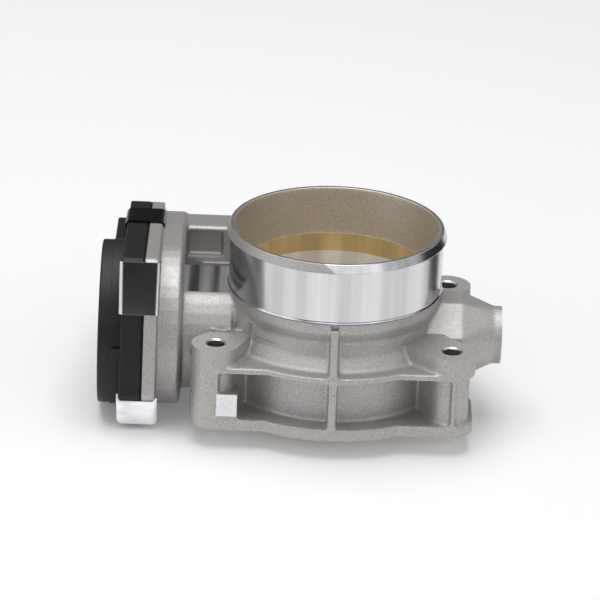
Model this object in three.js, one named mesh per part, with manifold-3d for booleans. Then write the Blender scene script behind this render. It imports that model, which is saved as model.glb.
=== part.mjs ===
// Electronic throttle body: a cast bore with a flange and an inlet collar, a shaft and plate across it,
// and a geared motor drive beside it under a clipped-on cover.
// Millimetres, +Z up. Origin: the bore axis at the manifold face. +Z runs to the air inlet, X along the
// throttle shaft with the gear housing at -X.
import * as THREE from 'three';
import { ConvexGeometry } from 'three/addons/geometries/ConvexGeometry.js';
import { mergeVertices } from 'three/addons/utils/BufferGeometryUtils.js';
import Module from 'manifold-3d';

// Clearance between pieces that rest on each other, and how far a cutter runs past a face
const GAP = 0.3;
const PAST = 1;

// Bore, neck and inlet collar, all turned about Z
const BORE_R = 43.5;
const BORE_TOP_Z = 62.5;
const NECK_R = 47.5;
const POCKET_WALL_R = 50.5;
const COLLAR_R = 50;
const COLLAR_Z = 54.4;
const BAND_Z = 49.4;
const BEAD_R = 51.6;
const RIM_INNER_R = 48;
const RIM_Z = 84.1;
const TURNED_SIDES = 64;

// Flange: two plates, four ears and their bolt holes
const EAR_X = 54.8;
const EAR_Y = 40.56;
const EAR_R = 11.3;
const EAR_TOP_Z = 39.2;
const COLUMN_R = 9;
const BOLT_HOLE_R = 4.3;
const PLATE_T = 5.5;
const UPPER_PLATE_Z = 28.4;
const UPPER_PLATE_TOP_Z = 31.2;
const FLANGE_DISC_R = 60.3;
const SIDE_SCALLOP = { x: 97, r: 36 };
const EAR_TOP = [UPPER_PLATE_Z, EAR_TOP_Z];
const FRONT_Y = -EAR_Y - EAR_R;
const LOW_WEB = { x: 42.5, y: 26, r: 4 };
const HIGH_WEB = { x: 45, y: 17.5, leftTip: [-38, 28], rightTip: [32, 35], r: 0.4 };

// Ribs and walls between the two plates
const RIB_HALF = 2;
const RIB_NOTCH_HALF = 1.7;
const RIB_NOTCH_Z = 51.4;
const LEFT_COLUMN_EDGE_X = -52.6;
const RIGHT_WALL_X = [55, 57.4];
const POCKET_PAD = { x: -44, y: -38, z: [7, 18] };

// Throttle shaft, its bearings and the casting blocks around them
const SHAFT_Z = 31.2;
const SHAFT_R = 5;
const BEARING_R = 8;
const BEARING_BORE_R = BEARING_R + GAP;
const SEAL_X = 46.5;
const BEARING_X = 50;
const BEARING_END_X = 57;
const LEFT_BLOCK = { r: 29, z: 29.8, x: -71.2 };
const LEFT_BLOCK_END_X = -47.8;
const LEFT_FACET = [
  [-50, -14.7, COLLAR_Z], [-45.1, -25.6, 42.7], [-38, -28, EAR_TOP_Z - 4], [-36, -32, COLLAR_Z],
  [-30, -10, COLLAR_Z], [-30, -10, 20], [-50, -20, 20], [-38, -28, 20],
];
const RIGHT_SECTION = [
  [-8, 49.6], [8, 49.6], [23.6, 38], [23.6, 24], [10, 12.5], [-10, 12.5], [-23.6, 24], [-23.6, 38],
];
const RIGHT_SECTION_X = [44, 60];
const RIGHT_BOSS_R = 13.65;
const RIGHT_BOSS_X = 79.3;
const END_PLUG = { x: [75.5, 77.8], wall: 1.2 };
const SPRING_CAVITY_R = 18;
const SPRING_CAVITY_X = -59;

// Throttle plate at its sprung rest position
const REST_TILT = THREE.MathUtils.degToRad(9);
const THROTTLE_PLATE_R = 43.2;
const THROTTLE_PLATE_T = 2.4;
const PLATE_SCREW_X = 21;
const PLATE_SCREW_R = 1.5;
const PLATE_SCREW_HEAD_R = 2.8;
const PLATE_SCREW_HEAD_T = 1.9;
const SHAFT_END_X = { gear: -93.6, step: -61, right: 60 };
const GEAR_SEAT_R = 4;

// Gear housing and cover, stacked along X. Circles are [y, z, r]
const CAVITY_FLOOR_X = -76;
const HOUSING_STEP_X = -72.1;
const LIP_BACK_X = -82.4;
const JOINT_X = -88.3;
const COVER_RIM_X = -89.2;
const COVER_X = -99;
const BULGE_X = -105;
const DISC_X = -109.8;
const WALL = 2.4;
const GEAR_BOX = [[0, SHAFT_Z, 38], [38.5, 37.3, 28.2], [70, 36, 22.6]];
const BOX_WALL = 2.8;
const COVER_EDGE = [
  [-46, 14.5, 3.5], [-28.5, -4.5, 3.5], [0, SHAFT_Z, 41],
  [70, 36, 25.6], [74, 59.4, 3.5], [-35, 74.5, 3.5],
];
const DISC_R = 38.5;
const BULGE = [[0, SHAFT_Z, 30], [70, 36, 18.5]];
const EDGE_TAB = { x: [-103.2, -98.6], y: [-39.4, -36], z: [27.7, 34] };

// Gear train: centres, modules and tooth counts
const MOTOR_Y = 70;
const MOTOR_Z = 36;
const COARSE_MODULE = 1.5;
const FINE_MODULE = 1;
const SECTOR_TEETH = 40;
const SMALL_TEETH = 12;
const LARGE_TEETH = 48;
const PINION_TEETH = 15;
const PRESSURE_ANGLE = THREE.MathUtils.degToRad(25);
const ADDENDUM = 0.8;
const DEDENDUM = 1.05;
const BACKLASH = 0.26;
const SECTOR_X = [-86, -78.5];
const SMALL_GEAR_X = [-88, -77.5];
const LARGE_GEAR_X = [-94, -88];
const PINION_X = [-95.5, -87.5];
const GEAR_PIN_R = 2.5;
const GEAR_PIN_X = [-95.6, -72.9];
const SECTOR_TOOTH_RANGE = [-10, 2];
const SECTOR_HUB = { r: 11, x: -94.2 };
const SECTOR_SLEEVE = { r: 8.5, x: -66 };
const SECTOR_WINDOWS = [-65, -27, 11];
const SECTOR_WINDOW_R = 4.2;
const SENSOR_ROTOR = { r: 17, x: [-96.8, -94.5], recessR: 12.5, recessX: -95.6 };

// Motor in its barrel
const BARREL_R = 21.5;
const BARREL_BORE_R = 18;
const BARREL_END_X = -8;
const CAN_R = 17.5;
const CAN_X = [-75.7, -12];
const CAN_T = 1.2;
const MOTOR_SHAFT_R = 2;
const MOTOR_SHAFT_X = [-96.1, -12.1];
const MOTOR_SCREW_ANGLES = [THREE.MathUtils.degToRad(130), THREE.MathUtils.degToRad(230)];
const MOTOR_SCREW_OFFSET = 22.5;
const MOTOR_SCREW_BOSS_R = 4.5;
const MOTOR_SCREW = { r: 1.6, headR: 3.2, x: [-79, -71], headX: -80.6, socketX: -79.6 };
const END_PLATE_X = -78.2;
const MAGNET = { outer: 16, inner: 13.4, x: [-66, -20], halfAngle: THREE.MathUtils.degToRad(33) };
const ARMATURE = { r: 12.6, x: [-62, -24], slots: 5, slotR: 2.2, slotAt: 11.6 };
const COMMUTATOR = { r: 5, x: -70 };
const WAVE_WASHER = { outer: 12, inner: 6, x: [-11.6, -10.9] };
const BARREL_CORNERS = [[52, 58.5, 2], [52, 36, 2]];
const BARREL_CORNERS_END_X = -44;
const BARREL_FEET = [[[-30, 52, 7], [-30, 44, 9]], [[-16, 52, 6], [-16, 40, 8]]];
const BARREL_FEET_Z = [8, 52];
const BARREL_RECESS = { x: [-70, -53.8], y: [45, 52.6], z: [46, 58.2] };

// Return spring and the stop screw under the sector gear
const SPRING = { r: 14, wireR: 1, turns: 5, x: [-74.6, -60.6] };
const STOP_SCREW = { r: 2, at: 28, angle: THREE.MathUtils.degToRad(110), x: [-84, -73.4], holeR: 2.3 };

// Connector shroud at the back of the cover, and its pins
const SHROUD = { x: [-98.4, -84.4], y: [88, 108], z: [26, 50] };
const SHROUD_WALL = 2;
const SHROUD_BACK = 8.4;
const SHROUD_FLOOR = 10;
const SHROUD_STEM = 5;
const PIN_COUNT = 6;
const PIN_PITCH = 2.6;
const PIN_FIRST = 5.5;
const PIN_HALF = 0.3;
const PIN_X = [-91.8, -90.9];
const BOARD = { outline: [[0, SHAFT_Z, 26], [62, 36, 12]], x: [-100.9, -99.4] };

// Spring clips of bent strip round the joint between cover and housing
const CLIP_LENGTH = 25;
const CLIP_T = 0.9;
const CLIP_CORNER = 0.6;
const COVER_GRIP = 3;
const LIP_GRIP = 1.5;

const UNIT_X = new THREE.Vector3(1, 0, 0);
const UNIT_Y = new THREE.Vector3(0, 1, 0);
const UNIT_Z = new THREE.Vector3(0, 0, 1);

const wasm = await Module();
wasm.setup();

// ---- Solids: three.js geometry in, closed solid out, and back ----

function toSolid(geometry) {
  const bare = geometry.index ? geometry.toNonIndexed() : geometry.clone();
  bare.deleteAttribute('normal');
  bare.deleteAttribute('uv');
  const merged = mergeVertices(bare, 1e-4);
  const index = merged.index.array;
  const triangles = [];
  for (let i = 0; i < index.length; i += 3) {
    const [a, b, c] = [index[i], index[i + 1], index[i + 2]];
    if (a !== b && b !== c && c !== a) triangles.push(a, b, c);
  }
  const vertProperties = new Float32Array(merged.attributes.position.array);
  return new wasm.Manifold(new wasm.Mesh({ numProp: 3, vertProperties, triVerts: new Uint32Array(triangles) }));
}

function toGeometry(solid) {
  const mesh = solid.getMesh();
  const geometry = new THREE.BufferGeometry();
  geometry.setAttribute('position', new THREE.BufferAttribute(new Float32Array(mesh.vertProperties), 3));
  geometry.setIndex(new THREE.BufferAttribute(new Uint32Array(mesh.triVerts), 1));
  const faceted = geometry.toNonIndexed();
  faceted.computeVertexNormals();
  return faceted;
}

function union(solids) {
  return solids.reduce((whole, solid) => whole.add(solid));
}

function cut(solid, cutters) {
  return cutters.reduce((rest, cutter) => rest.subtract(cutter), solid);
}

// ---- Outlines: lists of THREE.Vector2, counter-clockwise ----

function sidesFor(radius) {
  return 4 * Math.max(1, Math.round(1.65 * Math.sqrt(radius)));
}

function circle(u, v, radius, sides = sidesFor(radius)) {
  const points = [];
  for (let i = 0; i < sides; i += 1) {
    const angle = (2 * Math.PI * (i + 0.5)) / sides;
    points.push(new THREE.Vector2(u + radius * Math.cos(angle), v + radius * Math.sin(angle)));
  }
  return points;
}

function polygon(pairs) {
  return pairs.map(([u, v]) => new THREE.Vector2(u, v));
}

function rectangle(u0, u1, v0, v1) {
  return polygon([[u0, v0], [u1, v0], [u1, v1], [u0, v1]]);
}

// Convex outline around circles [u, v, r], each grown by `grow`
function belt(circles, grow = 0) {
  const points = circles.flatMap(([u, v, r]) => circle(u, v, r + grow));
  points.sort((a, b) => a.x - b.x || a.y - b.y);
  const half = (ordered) => {
    const chain = [];
    for (const point of ordered) {
      while (chain.length > 1 && turn(chain.at(-2), chain.at(-1), point) <= 1e-9) chain.pop();
      chain.push(point);
    }
    return chain.slice(0, -1);
  };
  return [...half(points), ...half([...points].reverse())];
}

function turn(a, b, c) {
  return (b.x - a.x) * (c.y - a.y) - (b.y - a.y) * (c.x - a.x);
}

// ---- Prisms and turned shapes ----

// Outline axes: for 'x' (y, z), for 'z' (x, y)
const ALONG = {
  x: new THREE.Matrix4().makeBasis(UNIT_Y, UNIT_Z, UNIT_X),
  z: new THREE.Matrix4(),
};

function prism(axis, outline, from, to) {
  const options = { depth: to - from, bevelEnabled: false };
  const geometry = new THREE.ExtrudeGeometry(new THREE.Shape(outline), options);
  geometry.translate(0, 0, from);
  geometry.applyMatrix4(ALONG[axis]);
  return toSolid(geometry);
}

function discX(y, z, radius, from, to, sides) {
  return prism('x', circle(y, z, radius, sides), from, to);
}

function discZ(x, y, radius, from, to, sides) {
  return prism('z', circle(x, y, radius, sides), from, to);
}

function box([x0, x1], [y0, y1], [z0, z1]) {
  return prism('z', rectangle(x0, x1, y0, y1), z0, z1);
}

// A ring about the X direction through (y, z)
function ringX(y, z, outer, inner, from, to) {
  return discX(y, z, outer, from, to).subtract(discX(y, z, inner, from - PAST, to + PAST));
}

// A profile of [r, z] pairs turned about Z, going up the outside and down the inside
function turned(profile, sides) {
  const points = profile.map(([r, z]) => new THREE.Vector2(r, z));
  return toSolid(new THREE.LatheGeometry(points, sides).rotateX(Math.PI / 2));
}

// A quarter-ellipse from [r0, z0] to [r1, z1], leaving the first point upright
function quarter([r0, z0], [r1, z1], steps) {
  const points = [];
  for (let i = 0; i <= steps; i += 1) {
    const angle = (Math.PI / 2) * (i / steps);
    points.push([r0 + (r1 - r0) * (1 - Math.cos(angle)), z0 + (z1 - z0) * Math.sin(angle)]);
  }
  return points;
}

// ---- Gears, as outlines in (y, z) about the origin ----

function involute(angle) {
  return Math.tan(angle) - angle;
}

// Half the angle that one tooth spans at a given radius
function toothHalfAngle(radius, pitchRadius, teeth) {
  const base = pitchRadius * Math.cos(PRESSURE_ANGLE);
  const slope = Math.acos(Math.min(1, base / Math.max(radius, base)));
  const atPitch = Math.PI / (2 * teeth) - BACKLASH / (4 * pitchRadius);
  return atPitch + involute(PRESSURE_ANGLE) - involute(slope);
}

// The flanks of the teeth from number `first` to `last`, centred on `phase`
function toothPoints(teeth, module, phase, first, last) {
  const pitchRadius = (teeth * module) / 2;
  const radii = [pitchRadius - DEDENDUM * module, pitchRadius + ADDENDUM * module];
  if (module > FINE_MODULE) radii.splice(1, 0, pitchRadius);
  const points = [];
  for (let tooth = first; tooth <= last; tooth += 1) {
    const centre = phase + (2 * Math.PI * tooth) / teeth;
    const at = (radius, side) => {
      const angle = centre + side * toothHalfAngle(radius, pitchRadius, teeth);
      return new THREE.Vector2(radius * Math.cos(angle), radius * Math.sin(angle));
    };
    radii.forEach((radius) => points.push(at(radius, -1)));
    [...radii].reverse().forEach((radius) => points.push(at(radius, 1)));
  }
  return points;
}

// Centre of the intermediate gear, above the line from the shaft to the motor
const toMotor = new THREE.Vector2(MOTOR_Y, MOTOR_Z - SHAFT_Z);
const coarseDistance = ((SECTOR_TEETH + SMALL_TEETH) * COARSE_MODULE) / 2;
const fineDistance = ((LARGE_TEETH + PINION_TEETH) * FINE_MODULE) / 2;
const centreLine = toMotor.length();
const along = (coarseDistance ** 2 - fineDistance ** 2 + centreLine ** 2) / (2 * centreLine);
const aside = Math.sqrt(coarseDistance ** 2 - along ** 2);
const lineUnit = toMotor.clone().normalize();
const IDLER_Y = lineUnit.x * along - lineUnit.y * aside;
const IDLER_Z = SHAFT_Z + lineUnit.y * along + lineUnit.x * aside;
const SHAFT_TO_IDLER = Math.atan2(IDLER_Z - SHAFT_Z, IDLER_Y);
const IDLER_TO_MOTOR = Math.atan2(MOTOR_Z - IDLER_Z, MOTOR_Y - IDLER_Y);

// ---- Materials and nodes ----

const FINISH = {
  cast: { color: 0xaaa49c, roughness: 0.6, metalness: 0.75 },
  steel: { color: 0xc9c9cc, roughness: 0.25, metalness: 1 },
  brass: { color: 0xb9a05c, roughness: 0.35, metalness: 1 },
  cover: { color: 0x232325, roughness: 0.5, metalness: 0 },
  gear: { color: 0xd8cfb8, roughness: 0.55, metalness: 0 },
  rubber: { color: 0x161616, roughness: 0.8, metalness: 0 },
  magnet: { color: 0x3c3a3a, roughness: 0.6, metalness: 0.3 },
  board: { color: 0x1f5a37, roughness: 0.5, metalness: 0 },
  copper: { color: 0xb06a3b, roughness: 0.4, metalness: 1 },
};

const group = new THREE.Group();

function node(name, solid, finish, parent = group) {
  const mesh = new THREE.Mesh(toGeometry(solid), new THREE.MeshStandardMaterial(FINISH[finish]));
  mesh.name = name;
  parent.add(mesh);
  return mesh;
}

// ---- Body casting ----

function eachEar(make) {
  return [[-1, -1], [1, -1], [1, 1], [-1, 1]].map(([sideX, sideY]) => make(sideX, sideY));
}

function flangePlate(from, to) {
  const corners = eachEar((sideX, sideY) => [sideX * EAR_X, sideY * EAR_Y, EAR_R]);
  const plate = prism('z', belt(corners), from, to).add(discZ(0, 0, FLANGE_DISC_R, from, to));
  const scallops = [-1, 1].map((side) => {
    return discZ(side * SIDE_SCALLOP.x, 0, SIDE_SCALLOP.r, from - PAST, to + PAST, 48);
  });
  return cut(plate, scallops);
}

function boreBarrel() {
  const flare = quarter([NECK_R, 44], [58.5, 30], 3).reverse();
  return turned([
    [0, 0], [POCKET_WALL_R, 0], [POCKET_WALL_R, 30], ...flare, [COLLAR_R, BAND_Z], [COLLAR_R, 79.6],
    [BEAD_R, 81.2], [50.4, RIM_Z], [0, RIM_Z],
  ], TURNED_SIDES);
}

function boreCut() {
  return turned([
    [0, -PAST], [BORE_R, -PAST], [BORE_R, BORE_TOP_Z], [RIM_INNER_R, RIM_Z], [RIM_INNER_R, RIM_Z + PAST],
    [0, RIM_Z + PAST],
  ], TURNED_SIDES);
}

// Ear columns, the high web from each ear boss back to the shaft blocks, and the low web behind the pockets
function ears() {
  const solids = eachEar((sideX, sideY) => {
    const [x, y] = [sideX * EAR_X, sideY * EAR_Y];
    const lowWeb = belt([[x, y, COLUMN_R - 0.5], [sideX * LOW_WEB.x, sideY * LOW_WEB.y, LOW_WEB.r]]);
    const [tipX, tipY] = sideX < 0 ? HIGH_WEB.leftTip : HIGH_WEB.rightTip;
    const highWeb = belt([
      [x, y, EAR_R], [tipX, sideY * tipY, HIGH_WEB.r], [sideX * HIGH_WEB.x, sideY * HIGH_WEB.y, HIGH_WEB.r],
    ]);
    return [
      discZ(x, y, EAR_R, ...EAR_TOP),
      discZ(x, y, sideY < 0 ? COLUMN_R : EAR_R, 0, EAR_TOP_Z),
      prism('z', lowWeb, PAST, UPPER_PLATE_TOP_Z),
      prism('z', highWeb, ...EAR_TOP),
    ];
  });
  return solids.flat();
}

// Ribs and walls that divide the pockets between the two plates
function ribs() {
  const inside = BORE_R + 1.5;
  const frontRib = polygon([
    [-FLANGE_DISC_R, 0], [-inside, 0], [-inside, COLLAR_Z], [-COLLAR_R - 0.4, COLLAR_Z],
    [-COLLAR_R - 1.2, BAND_Z + 1], [-FLANGE_DISC_R, UPPER_PLATE_TOP_Z],
  ]);
  const rearRib = polygon([
    [FLANGE_DISC_R, 0], [FLANGE_DISC_R, UPPER_PLATE_TOP_Z], [COLLAR_R + 1.2, BAND_Z],
    [inside, BAND_Z], [inside, 0],
  ]);
  const leftColumn = discZ(-EAR_X, -EAR_Y, EAR_R, 0, EAR_TOP_Z).subtract(
    box([LEFT_COLUMN_EDGE_X, 0], [-80, 0], [-PAST, EAR_TOP_Z + PAST]),
  );
  return [
    prism('x', frontRib, -RIB_HALF, RIB_HALF),
    prism('x', rearRib, -RIB_HALF, RIB_HALF),
    box(RIGHT_WALL_X, [FRONT_Y + 0.1, -EAR_Y], [PAST, UPPER_PLATE_TOP_Z]),
    leftColumn,
    box([LEFT_COLUMN_EDGE_X - 1, POCKET_PAD.x], [FRONT_Y + 0.3, POCKET_PAD.y], POCKET_PAD.z),
  ];
}

// Half-round block on the gear side, cut flat at the collar's lower edge, with a facet running to the collar
function leftBlock() {
  const barrel = discX(0, LEFT_BLOCK.z, LEFT_BLOCK.r, LEFT_BLOCK.x, -38);
  const facet = toSolid(new ConvexGeometry(LEFT_FACET.map((corner) => new THREE.Vector3(...corner))));
  const above = box([-90, -20], [-60, 60], [COLLAR_Z, RIM_Z]);
  const beyond = box([LEFT_BLOCK_END_X, -20], [-60, 60], [-20, COLLAR_Z + PAST]);
  return cut(barrel, [above, beyond]).add(facet);
}

// Block on the far side that narrows from a flat-topped section to the round end boss
function rightBlock() {
  const section = (x) => RIGHT_SECTION.map(([y, z]) => new THREE.Vector3(x, y, z));
  const [start, end] = RIGHT_SECTION_X;
  const round = circle(0, SHAFT_Z, RIGHT_BOSS_R).map(({ x: y, y: z }) => {
    return new THREE.Vector3(END_PLUG.x[0], y, z);
  });
  return [
    toSolid(new ConvexGeometry([...section(start), ...section(end)])),
    toSolid(new ConvexGeometry([...section(end), ...round])),
    discX(0, SHAFT_Z, RIGHT_BOSS_R, end, RIGHT_BOSS_X),
  ];
}

// The motor's barrel, square-cornered near the housing, with two feet down to the bore
function motorBarrelSolids() {
  const shell = belt([[MOTOR_Y, MOTOR_Z, BARREL_R], ...BARREL_CORNERS]);
  return [
    prism('x', shell, CAVITY_FLOOR_X, BARREL_CORNERS_END_X),
    discX(MOTOR_Y, MOTOR_Z, BARREL_R, BARREL_CORNERS_END_X - PAST, BARREL_END_X),
    ...BARREL_FEET.map((foot) => prism('z', belt(foot), ...BARREL_FEET_Z)),
  ];
}

function gearHousing() {
  return [
    prism('x', belt(GEAR_BOX), LIP_BACK_X - PAST, HOUSING_STEP_X),
    prism('x', belt(GEAR_BOX, -1.6), HOUSING_STEP_X - PAST, LEFT_BLOCK.x),
    prism('x', belt(COVER_EDGE), JOINT_X, LIP_BACK_X),
  ];
}

function castingCuts() {
  const boltHoles = eachEar((sideX, sideY) => {
    return discZ(sideX * EAR_X, sideY * EAR_Y, BOLT_HOLE_R, -PAST, EAR_TOP_Z + PAST, 24);
  });
  const shaftHole = discX(0, SHAFT_Z, SHAFT_R + 0.35, -80, 70, 24);
  const bearingSeats = [
    discX(0, SHAFT_Z, BEARING_BORE_R, -60, -(SEAL_X - GAP), 28),
    discX(0, SHAFT_Z, BEARING_BORE_R, SEAL_X - GAP, RIGHT_BOSS_X + PAST, 28),
  ];
  const behindFloor = CAVITY_FLOOR_X - PAST;
  const springCavity = discX(0, SHAFT_Z, SPRING_CAVITY_R, behindFloor, SPRING_CAVITY_X);
  const gearCavity = prism('x', belt(GEAR_BOX, -BOX_WALL), JOINT_X - PAST, CAVITY_FLOOR_X);
  const motorBore = discX(MOTOR_Y, MOTOR_Z, BARREL_BORE_R, behindFloor, BARREL_END_X - 2.5);
  const pinHole = discX(IDLER_Y, IDLER_Z, GEAR_PIN_R + GAP, behindFloor, GEAR_PIN_X[1] + GAP, 20);
  const motorRecess = box(BARREL_RECESS.x, BARREL_RECESS.y, BARREL_RECESS.z);
  const ribNotch = box([-RIB_NOTCH_HALF, RIB_NOTCH_HALF], [-60, -48.6], [RIB_NOTCH_Z, COLLAR_Z + GAP]);
  const motorScrewHoles = motorScrewPlaces().map(([y, z]) => {
    return discX(y, z, MOTOR_SCREW.r + 0.4, behindFloor, MOTOR_SCREW.x[1] + PAST, 16);
  });
  const [stopY, stopZ] = stopScrewPlace();
  const stopScrewHole = discX(stopY, stopZ, STOP_SCREW.holeR, behindFloor, STOP_SCREW.x[1] + 0.4, 16);
  return [
    boreCut(), ...boltHoles, shaftHole, ...bearingSeats, springCavity, gearCavity, motorBore, pinHole,
    motorRecess, ribNotch, ...motorScrewHoles, stopScrewHole,
  ];
}

function motorScrewPlaces() {
  return MOTOR_SCREW_ANGLES.map((angle) => {
    return [MOTOR_Y + MOTOR_SCREW_OFFSET * Math.cos(angle), MOTOR_Z + MOTOR_SCREW_OFFSET * Math.sin(angle)];
  });
}

function stopScrewPlace() {
  const angle = SHAFT_TO_IDLER - STOP_SCREW.angle;
  return [STOP_SCREW.at * Math.cos(angle), SHAFT_Z + STOP_SCREW.at * Math.sin(angle)];
}

function bodyCasting() {
  const motorScrewBosses = motorScrewPlaces().map(([y, z]) => {
    return discX(y, z, MOTOR_SCREW_BOSS_R, CAVITY_FLOOR_X, MOTOR_SCREW.x[1] + 3, 20);
  });
  const solids = [
    boreBarrel(), flangePlate(0, PLATE_T), flangePlate(UPPER_PLATE_Z, UPPER_PLATE_TOP_Z), ...ears(), ...ribs(),
    leftBlock(), ...rightBlock(), ...motorBarrelSolids(), ...gearHousing(), ...motorScrewBosses,
  ];
  return cut(union(solids), castingCuts());
}

node('body_casting', bodyCasting(), 'cast');

// ---- Shaft support ----

for (const [side, from, to] of [['left', -BEARING_END_X, -BEARING_X], ['right', BEARING_X, BEARING_END_X]]) {
  node(`${side}_bearing`, ringX(0, SHAFT_Z, BEARING_R, SHAFT_R + GAP, from, to), 'steel');
}
for (const [side, from, to] of [['left', GAP - BEARING_X, -SEAL_X], ['right', SEAL_X, BEARING_X - GAP]]) {
  node(`${side}_shaft_seal`, ringX(0, SHAFT_Z, BEARING_R, SHAFT_R + GAP, from, to), 'rubber');
}
node('shaft_end_plug', discX(0, SHAFT_Z, BEARING_R, ...END_PLUG.x).subtract(
  discX(0, SHAFT_Z, BEARING_R - END_PLUG.wall, END_PLUG.x[0] + END_PLUG.wall, END_PLUG.x[1] + PAST, 24),
), 'steel');

// ---- Throttle body rotor: everything that turns with the shaft ----

const rotor = new THREE.Group();
rotor.position.set(0, 0, SHAFT_Z);
rotor.rotation.x = REST_TILT;
group.add(rotor);

const screwHoles = [-PLATE_SCREW_X, PLATE_SCREW_X].map((x) => discZ(x, 0, PLATE_SCREW_R + GAP, -10, 10, 16));

function throttleShaft() {
  const slotHalf = THROTTLE_PLATE_T / 2 + GAP;
  const slot = box([-BORE_R, BORE_R], [-10, 10], [-slotHalf, slotHalf]);
  const headFlat = box([-BORE_R + 4, BORE_R - 4], [-10, 10], [SHAFT_R - 0.8, 10]);
  const rod = discX(0, 0, SHAFT_R, SHAFT_END_X.step, SHAFT_END_X.right, 24);
  const gearEnd = discX(0, 0, GEAR_SEAT_R, SHAFT_END_X.gear, SHAFT_END_X.step + PAST, 24);
  return cut(rod.add(gearEnd), [slot, headFlat, ...screwHoles]);
}

function throttlePlate() {
  const disc = discZ(0, 0, THROTTLE_PLATE_R, -THROTTLE_PLATE_T / 2, THROTTLE_PLATE_T / 2, TURNED_SIDES);
  return cut(disc, screwHoles);
}

// The head rests on the shaft's flat, and the shank stops short of the far side
function plateScrew(x) {
  const seat = SHAFT_R - 0.5;
  const shank = discZ(x, 0, PLATE_SCREW_R, -SHAFT_R + 0.4, seat + PAST / 2, 16);
  const head = discZ(x, 0, PLATE_SCREW_HEAD_R, seat, seat + PLATE_SCREW_HEAD_T, 20);
  const socket = discZ(x, 0, 1.1, seat + 0.9, seat + PLATE_SCREW_HEAD_T + PAST, 6);
  return shank.add(head).subtract(socket);
}

node('throttle_shaft', throttleShaft(), 'steel', rotor);
node('throttle_plate', throttlePlate(), 'brass', rotor);
node('left_plate_screw', plateScrew(-PLATE_SCREW_X), 'steel', rotor);
node('right_plate_screw', plateScrew(PLATE_SCREW_X), 'steel', rotor);

const driven = new THREE.Group();
driven.position.set(0, 0, SHAFT_Z);
group.add(driven);

function sectorGear() {
  const [back, front] = SECTOR_X;
  const teeth = toothPoints(SECTOR_TEETH, COARSE_MODULE, SHAFT_TO_IDLER, ...SECTOR_TOOTH_RANGE);
  const web = prism('x', [new THREE.Vector2(0, 0), ...teeth], back, front);
  const hub = discX(0, 0, SECTOR_HUB.r, SECTOR_HUB.x, front, 28);
  const sleeve = discX(0, 0, SECTOR_SLEEVE.r, front, SECTOR_SLEEVE.x, 24);
  const root = (SECTOR_TEETH / 2 - DEDENDUM) * COARSE_MODULE;
  const windowAt = root - 10.5;
  const windows = SECTOR_WINDOWS.map((degrees) => {
    const angle = THREE.MathUtils.degToRad(degrees);
    const [y, z] = [windowAt * Math.cos(angle), windowAt * Math.sin(angle)];
    return discX(y, z, SECTOR_WINDOW_R, back - PAST, front + PAST, 20);
  });
  const shaftHole = discX(0, 0, GEAR_SEAT_R + GAP, -100, -50, 24);
  return cut(union([web, hub, sleeve]), [...windows, shaftHole]);
}

function sensorRotor() {
  const { r, x, recessR, recessX } = SENSOR_ROTOR;
  return discX(0, 0, r, ...x).subtract(discX(0, 0, recessR, x[0] - PAST, recessX, 28));
}

node('sector_gear', sectorGear(), 'gear', driven);
node('sensor_rotor', sensorRotor(), 'cover', driven);

// ---- Intermediate gear on its pin ----

function intermediateGear() {
  const smallPhase = SHAFT_TO_IDLER + Math.PI + Math.PI / SMALL_TEETH;
  const small = toothPoints(SMALL_TEETH, COARSE_MODULE, smallPhase, 0, SMALL_TEETH - 1);
  const large = toothPoints(LARGE_TEETH, FINE_MODULE, IDLER_TO_MOTOR, 0, LARGE_TEETH - 1);
  const smallGear = prism('x', small, SMALL_GEAR_X[0] - 0.5, SMALL_GEAR_X[1]);
  const largeGear = prism('x', large, ...LARGE_GEAR_X);
  return smallGear.add(largeGear).subtract(discX(0, 0, GEAR_PIN_R + GAP, -100, -70, 20));
}

const idler = new THREE.Group();
idler.position.set(0, IDLER_Y, IDLER_Z);
group.add(idler);
node('intermediate_gear', intermediateGear(), 'gear', idler);
node('intermediate_gear_pin', discX(0, 0, GEAR_PIN_R, ...GEAR_PIN_X, 20), 'steel', idler);

// ---- Motor ----

const motor = new THREE.Group();
motor.position.set(0, MOTOR_Y, MOTOR_Z);
group.add(motor);

// The two screws' places from the motor's own axis
const screwOffsets = motorScrewPlaces().map(([y, z]) => [y - MOTOR_Y, z - MOTOR_Z]);

function motorEndPlate() {
  const lugs = screwOffsets.map(([y, z]) => [y, z, MOTOR_SCREW_BOSS_R]);
  const plate = prism('x', belt([[0, 0, CAN_R], ...lugs]), END_PLATE_X, CAVITY_FLOOR_X - GAP);
  const holes = screwOffsets.map(([y, z]) => discX(y, z, MOTOR_SCREW.r + GAP, -90, -70, 16));
  return cut(plate, [discX(0, 0, 5, -90, -70, 24), ...holes]);
}

function motorCan() {
  const [open, closed] = CAN_X;
  const shell = discX(0, 0, CAN_R, open, closed, 36);
  return cut(shell, [
    discX(0, 0, CAN_R - CAN_T, open - PAST, closed - CAN_T, 36),
    discX(0, 0, MOTOR_SHAFT_R + 1, -20, 0, 20),
  ]);
}

// An arc of magnet on one side of the armature, in front of the axis or behind it
function magnet(side) {
  const reach = 40;
  const rise = reach * Math.tan(MAGNET.halfAngle);
  const wedge = polygon([[0, 0], [side * reach, -side * rise], [side * reach, side * rise]]);
  const ring = ringX(0, 0, MAGNET.outer, MAGNET.inner, ...MAGNET.x);
  return ring.intersect(prism('x', wedge, MAGNET.x[0] - PAST, MAGNET.x[1] + PAST));
}

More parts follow.
